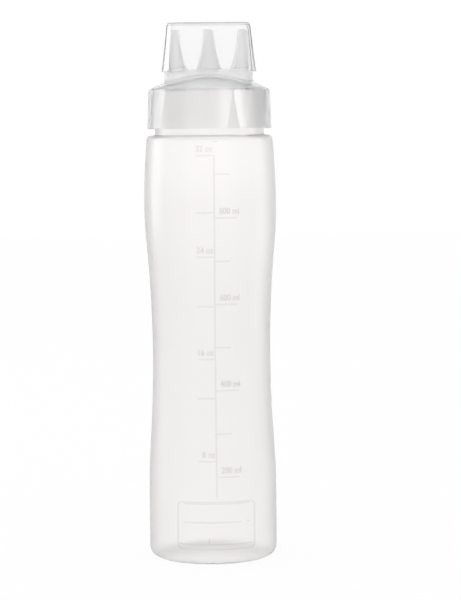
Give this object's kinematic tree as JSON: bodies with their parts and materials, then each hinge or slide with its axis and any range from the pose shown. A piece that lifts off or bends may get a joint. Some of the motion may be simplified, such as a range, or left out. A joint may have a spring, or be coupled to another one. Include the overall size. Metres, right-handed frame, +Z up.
{
  "type": "squeeze bottle",
  "caption": "Tall translucent squeeze bottle with a waisted grip, a moulded volume scale, and a screw lid whose row of tapered nozzles sits under a clear cap.",
  "frame": {"origin": "middle of the bottle's standing ring, on the surface that it stands on", "axes": "+Z up along the bottle's axis; the moulded scale and label panel face -Y; +X is to the right seen from the front"},
  "size_m": [0.0792, 0.0796, 0.3208],
  "materials": {
    "bottle_plastic": "natural low-density polyethylene, milky translucent, soft satin",
    "lid_plastic": "natural polyethylene, thicker and greyer than the bottle, soft gloss",
    "cap_plastic": "clear rigid plastic, glossy"
  },
  "bodies": {
    "root": {"bottle": "bottle_plastic", "lid": "lid_plastic", "nozzle_cap": "cap_plastic"}
  },
  "joints": []
}
